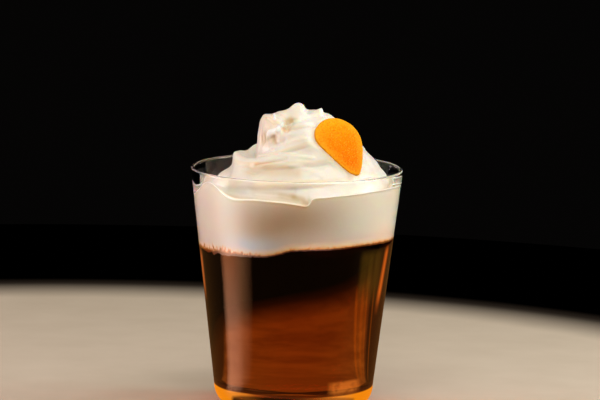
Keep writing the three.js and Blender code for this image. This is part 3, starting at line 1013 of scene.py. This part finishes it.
def light_in_base(finish):
    """Painted golden glow for the light that the drink gathers in the base, a thin line in front that widens
    to the sides.
    """
    across = finish.place("X", 50)
    height = finish.place("Z", 10)
    edge_on = finish.edge_on()
    seen = finish.ray("Is Camera Ray")
    from_left = across + 0.6
    raised = finish.ramp(from_left, *CRESCENT_RAISED)
    lower = 0.5 * raised + finish.ramp(edge_on, *CRESCENT_LOWER)
    upper = CRESCENT_UPPER + CRESCENT_WIDENS * edge_on + raised
    over = height - upper
    above = finish.clipped((height - lower) * 11.0)
    below = finish.clipped((upper - height) * 20.0)
    gold = finish.ramp(edge_on + across * 0.15, *CRESCENT_GOLD)
    haze = finish.ramp(over, (0.0, 1.0), (0.3, 0.0)) * (1.0 - below)
    hair = finish.band(over, 0.15, 25.0) * finish.ramp(from_left, *HAIR_STRETCH)
    torn = finish.ramp(finish.noise(300, 2, 0.5), (0.38, 0.6), (0.5, 1.0))
    patch = finish.ramp(over, *PATCH_HEIGHT) * finish.ramp(across * 1.5, *PATCH_STRETCH) * torn
    under = finish.ramp(from_left, *UNDER_STRETCH) * (1.0 - above)
    under = under * finish.ramp(height, (0.55, 0.0), (0.7, 1.0))
    glow = finish.blend(haze * seen, BLACK, (0.06, 0.01, 0.001))
    glow = finish.blend(hair * seen, glow, (0.09, 0.022, 0.004))
    glow = finish.blend(patch * (1.0 - below) * seen, glow, (0.45, 0.11, 0.012))
    glow = finish.blend(under * seen, glow, (0.42, 0.115, 0.013))
    return finish.blend(above * below * seen, glow, gold)


def light_at_edges(finish):
    """Painted glow for what the wall catches beside the drink: an orange line and an olive gleam right, a
    thin line left.
    """
    across = finish.place("X", 1)
    height = finish.place("Z", 100)
    edge_on = finish.edge_on()
    seen = finish.ray("Is Camera Ray")
    right = finish.clipped(across) * seen
    left = finish.clipped(-1.0 * across) * seen
    streaks = finish.noise(420, 2, 0.5, finish.stretched(1, 1, 0.05))
    line = finish.band(edge_on - height * 0.3, LINE_AT, 15.0) * finish.ramp(height, *LINE_HEIGHT)
    gleam = finish.ramp(edge_on, *GLEAM_WIDTH) * finish.ramp(height, *GLEAM_HEIGHT)
    gleam = gleam * finish.ramp(streaks, (0.35, 0.55), (0.65, 1.0))
    thin = finish.band(edge_on, THIN_LINE_AT, 12.0) * finish.ramp(height, *THIN_LINE_HEIGHT)
    glow = finish.blend(gleam * right, BLACK, (0.05, 0.024, 0.002))
    glow = finish.blend(line * right, glow, (0.62, 0.105, 0.008))
    return finish.blend(thin * left, glow, (0.45, 0.09, 0.015))


def light_on_rim(finish):
    """Painted highlight: the soft white glowing line along the front of the rounded rim."""
    near_top = finish.ramp(finish.place("Z", 100), (0.97, 0.0), (0.975, 1.0))
    in_front = finish.ramp(finish.place("Y", -100), (0.3, 0.0), (0.38, 1.0))
    return finish.blend(near_top * in_front * finish.ray("Is Camera Ray"), BLACK, (0.22, 0.20, 0.17))


def amber_drink():
    finish = Finish("amber_drink", IOR=1.345, Transmission_Weight=1.0, Specular_Tint=BLACK)
    swirl = finish.noise(35, 2)
    finish.wear(Roughness=0.02 * swirl, Base_Color=finish.blend(swirl, (1, 0.96, 0.9), (1, 0.9, 0.8)))
    finish.let_lamps_through((0.9, 0.45, 0.12))
    depth = finish.node("ShaderNodeVolumeAbsorption", {}, {"Color": (0.95, 0.60, 0.08), "Density": 80.0})
    finish.feed(finish.output.inputs["Volume"], depth)
    return finish.material


def whipped_cream():
    finish = Finish(
        "whipped_cream",
        Subsurface_Weight=0.8,
        Subsurface_Radius=(1.0, 0.66, 0.42),
        Subsurface_Scale=4 * MM,
        Specular_IOR_Level=0.45,
        Coat_Weight=0.3,
        Coat_Roughness=0.16,
        Emission_Strength=1.0,
    )
    height = finish.measured("above_drink")
    clouds = finish.noise(60, 3, 0.55)
    body = finish.blend(clouds, (0.97, 0.89, 0.83), (0.98, 0.93, 0.89))
    # Painted shade, painted highlight and painted orange bounce light from the peel on the mound
    body = finish.toned(body, MOUND_COLOURS)
    against_glass = finish.blend(clouds, (0.95, 0.86, 0.73), (0.98, 0.91, 0.81))
    body = finish.blend(finish.measured("at_wall"), body, against_glass)
    # Painted shade and painted bluish light on the cream against the glass, and its pinkish tint
    body = finish.toned(body, SIDE_COLOURS)
    low = finish.ramp(height * 0.1, (0.0, 1.0), (0.7, 0.5), (1.0, 0.0))
    body = finish.blend(low * 0.35, body, (0.98, 0.78, 0.70))
    upright = finish.noise(800, 4, 0.7, finish.stretched(1, 1, 0.4))
    feather = finish.ramp(upright, (0.36, 0.0), (0.64, 1.0)) * 3.0 * finish.measured("frayed")
    reach = (height - feather + 0.5) * 0.55
    stain = finish.ramp(reach, (0.0, 1.0), (0.4, 0.6), (1.0, 0.0))
    coloured = finish.blend(stain, body, finish.ramp(reach, *STAIN_COLOURS))
    grain = finish.noise(900, 3, 0.6) + finish.noise(1600, 2, 0.6) * 0.4
    pits = finish.ramp(finish.pores(520), (0.0, 0.0), (0.22, 1.0))
    relief = finish.bump(pits, 0.1, 0.25, finish.bump(grain, 0.15, 0.3))
    # Painted light, added as glow
    glow = BLACK
    for measure, light in CREAM_LIGHTS:
        glow = finish.blend(finish.measured(measure), glow, light, "ADD")
    # Painted orange light shone through the drink, low on the cream against the glass
    shining = finish.ramp(height * 0.3, (0.0, 0.0), (0.12, 1.0), (0.45, 0.7), (1.0, 0.0))
    glow = finish.blend(shining * finish.measured("shone_through"), glow, (0.40, 0.15, 0.02), "ADD")
    finish.wear(Base_Color=coloured, Roughness=0.32 + 0.25 * clouds, Normal=relief, Emission_Color=glow)
    return finish.material


def orange_skin():
    finish = Finish(
        "orange_skin",
        Subsurface_Weight=0.15,
        Subsurface_Radius=(1.0, 0.4, 0.1),
        Subsurface_Scale=1.5 * MM,
        Specular_IOR_Level=0.03,
    )
    patches = finish.noise(260, 3, 0.6)
    deepness = finish.measured("towards_tip") * 0.8 + patches * 0.45 - 0.1
    zest = finish.ramp(deepness, *ZEST_COLOURS)
    rim = finish.ramp(finish.measured("from_edge") * 0.2, (0.0, 1.0), (0.15, 0.8), (0.8, 0.0))
    zest = finish.blend(rim * 0.75, zest, (1.0, 0.44, 0.015))
    pores = finish.pores(900)
    dark = finish.ramp(pores, (0.0, 1.0), (0.5, 0.0))
    zest = finish.blend(dark * 0.5, zest, (0.85, 0.15, 0.0))
    specks = finish.ramp(finish.noise(1500, 2, 0.6), (0.55, 0.0), (0.72, 1.0))
    zest = finish.blend(specks * 0.45, zest, (1.0, 0.55, 0.06))
    pith = finish.blend(patches, (0.95, 0.86, 0.62), (0.98, 0.78, 0.42))
    coloured = finish.blend(finish.ramp(finish.measured("towards_skin"), (0.5, 0.0), (0.8, 1.0)), pith, zest)
    dimples = finish.ramp(pores, (0.0, 0.0), (0.5, 1.0))
    relief = finish.bump(dimples + patches * 0.5, 0.5, 0.2)
    finish.wear(Base_Color=coloured, Roughness=0.45 + 0.2 * patches, Normal=relief)
    return finish.material


# Studio


def stand_camera():
    """Stands the camera where the photograph was taken, tilted and turned to agree with its frame."""
    elevation, roll = math.radians(VIEW_ELEVATION), math.radians(VIEW_ROLL)
    ahead = Vector((0, math.cos(elevation), -math.sin(elevation)))
    up = Vector((0, math.sin(elevation), math.cos(elevation)))
    right = Vector((1, 0, 0))
    place = Vector((0, 0, GLASS_HEIGHT)) - ahead * VIEW_DISTANCE
    across, down = PICTURE_WIDTH / 2 - RIM_CENTRE_X, PICTURE_HEIGHT / 2 - RIM_CENTRE_Y
    x = across * math.cos(roll) + down * math.sin(roll)
    y = across * math.sin(roll) - down * math.cos(roll)
    aim = (ahead + (right * x + up * y) / (PIXELS_PER_MM * VIEW_DISTANCE)).normalized()
    side = aim.cross(up * math.cos(roll) - right * math.sin(roll)).normalized()
    bpy.ops.object.camera_add(location=place * MM)
    camera = bpy.context.object
    camera.name = "camera"
    camera.rotation_euler = Matrix([side, side.cross(aim), -aim]).transposed().to_euler()
    camera.data.sensor_width = SENSOR_WIDTH
    camera.data.lens = SENSOR_WIDTH * VIEW_DISTANCE * PIXELS_PER_MM / PICTURE_WIDTH
    camera.data.clip_start, camera.data.clip_end = VIEW_CLIP
    bpy.context.scene.camera = camera


def stand_lamp(name, azimuth, distance, height, size, power, colour, aim):
    """A soft box that faces the drink."""
    turn = math.radians(azimuth)
    place = Vector((distance * math.cos(turn), distance * math.sin(turn), height))
    bpy.ops.object.light_add(type="AREA", location=place)
    lamp = bpy.context.object
    lamp.name = name
    lamp.data.shape = "RECTANGLE"
    lamp.data.size, lamp.data.size_y = size
    lamp.data.energy = power
    lamp.data.color = colour
    lamp.rotation_euler = (place - Vector((0, 0, aim))).to_track_quat("Z", "Y").to_euler()
    lamp.visible_camera = False
    lamp.visible_transmission = name not in HIDDEN_BEHIND_GLASS


def beam(finish, azimuth, half_width, near, far, softness=0.5, shift=0.0):
    """Share of a painted beam of light that runs over the floor away from the foot, between two distances in
    metres.
    """
    turn = math.radians(azimuth)
    along = finish.set_against("DOT_PRODUCT", (math.cos(turn), math.sin(turn), 0))
    across = finish.set_against("DOT_PRODUCT", (-math.sin(turn), math.cos(turn), 0))
    spread = 1 / math.tan(math.radians(half_width))
    width = finish.ramp(abs((across - shift) / along) * spread, (1 - softness, 1.0), (1.0, 0.0))
    start = near / (2 * far)
    length = finish.ramp(along * (0.5 / far), (0.9 * start, 0.0), (1.1 * start, 1.0), (0.46, 1.0), (0.5, 0.0))
    return width * length


def floor_in_drink(finish):
    """The floor as it shows through the drink: grained, with painted shadow near the glass and painted shade
    beside a painted beam of light.
    """
    grain = finish.ramp(finish.noise(1, 4, 0.65, finish.stretched(*GRAIN_SCALE)), (0.38, 0.75), (0.6, 0.0))
    shown = finish.blend(grain, (0.31, 0.26, 0.21), (0.18, 0.12, 0.08))
    near_glass = finish.ramp(finish.place("Y", 100), (0.6, 0.75), (0.94, 0.0))
    shown = finish.blend(near_glass, shown, BLACK)
    return finish.blend(beam(finish, *BEHIND_BEAM), (0.055, 0.04, 0.028), shown)


def floor_in_glass(finish, from_middle):
    """Painted reflection of the floor in the glass: a bright glowing strip, with a softer one beside it."""
    strip_colour = finish.ramp(from_middle, (0.1, (7.2, 3.1, 1.7)), (0.3, (7.5, 2.4, 0.9)))
    mirror_image = finish.blend(beam(finish, *BESIDE_BEAM) * 0.68, (0.15, 0.06, 0.015), (7.0, 2.8, 1.2))
    return finish.blend(beam(finish, *STRIP_BEAM), mirror_image, strip_colour)


def pale_floor():
    """A pale round board on dark ground. Through the drink it shows as on a dark table with painted shade and
    light, and in the glass as a painted reflection.
    """
    finish = Finish("pale_floor", Specular_IOR_Level=0.0, Emission_Strength=1.0)
    speckle = finish.noise(40, 3)
    through = finish.ray("Is Transmission Ray")
    mirrored = finish.ray("Is Reflection Ray") * finish.ray("Is Glossy Ray")
    from_middle = finish.set_against("DISTANCE", BOARD_MIDDLE)
    pale = finish.blend(speckle, (0.54, 0.48, 0.42), (0.62, 0.56, 0.50))
    colour = finish.blend(through, pale, floor_in_drink(finish))
    colour = finish.blend(finish.ramp(from_middle, *BOARD_EDGE), colour, (0.02, 0.016, 0.014))
    # Painted glowing streaks of light on the floor, seen only through the drink
    streaks = beam(finish, *STREAK_HAZE) * 0.35
    for streak in STREAKS:
        streaks = streaks + beam(finish, *streak)
    glow = finish.blend(streaks * through, BLACK, (0.15, 0.115, 0.0))
    finish.wear(Base_Color=colour, Roughness=0.16 + 0.06 * speckle, Emission_Color=glow)
    in_front = finish.ramp(finish.place("Y", -100), (0.4, 0.0), (0.5, 1.0))
    off_board = finish.ramp(from_middle, *GROUND_EDGE)
    mirror_image = finish.blend(mirrored, BLACK, floor_in_glass(finish, from_middle))
    # Glows instead: the painted reflection for mirrored rays, and painted black for the floor in front seen
    # through the drink and for the ground off the board
    finish.glow_instead(mirrored + in_front * through + off_board, mirror_image)
    return finish.material


def lay_floor():
    put_down_all()
    settings = {"vertices": FLOOR_CORNERS, "radius": FLOOR_RADIUS, "fill_type": "NGON"}
    bpy.ops.mesh.primitive_circle_add(location=BOARD_MIDDLE, **settings)
    floor = bpy.context.object
    floor.name = "floor"
    bpy.ops.object.transform_apply(location=True)
    floor.data.materials.append(pale_floor())


def darken_room():
    """Near black all round, with a little warm light on what is dull."""
    world = bpy.data.worlds.new("studio")
    bpy.context.scene.world = world
    world.use_nodes = True
    tree = world.node_tree
    dull = tree.nodes.new("ShaderNodeLightPath").outputs["Is Diffuse Ray"]
    colour = tree.nodes.new("ShaderNodeMix")
    colour.data_type = "RGBA"
    colour.inputs[6].default_value = (*ROOM_SEEN, 1)
    colour.inputs[7].default_value = (*ROOM_LIGHT, 1)
    tree.links.new(dull, colour.inputs[0])
    tree.links.new(colour.outputs[2], tree.nodes["Background"].inputs["Color"])


def light_studio():
    darken_room()
    for name, *settings in LAMPS:
        stand_lamp(name, *settings)
    bpy.context.scene.view_settings.view_transform = "Standard"
    bpy.context.scene.cycles.use_denoising = True


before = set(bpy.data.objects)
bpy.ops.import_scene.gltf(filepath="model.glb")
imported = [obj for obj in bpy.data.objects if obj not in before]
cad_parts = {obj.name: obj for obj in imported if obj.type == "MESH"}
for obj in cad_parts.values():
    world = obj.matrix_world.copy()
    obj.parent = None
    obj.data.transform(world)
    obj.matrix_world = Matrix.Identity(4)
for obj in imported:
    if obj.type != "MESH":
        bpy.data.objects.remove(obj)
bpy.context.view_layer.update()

stand_camera()
lay_floor()
light_studio()

for node, make, finish in (
    ("glass", make_tumbler, clear_glass),
    ("drink", make_drink, amber_drink),
    ("whipped_cream", make_cream, whipped_cream),
    ("orange_peel", make_peel, orange_skin),
):
    piece = make()
    piece.data.materials.clear()
    piece.data.materials.append(finish())
    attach(piece, "root")
    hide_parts(node)
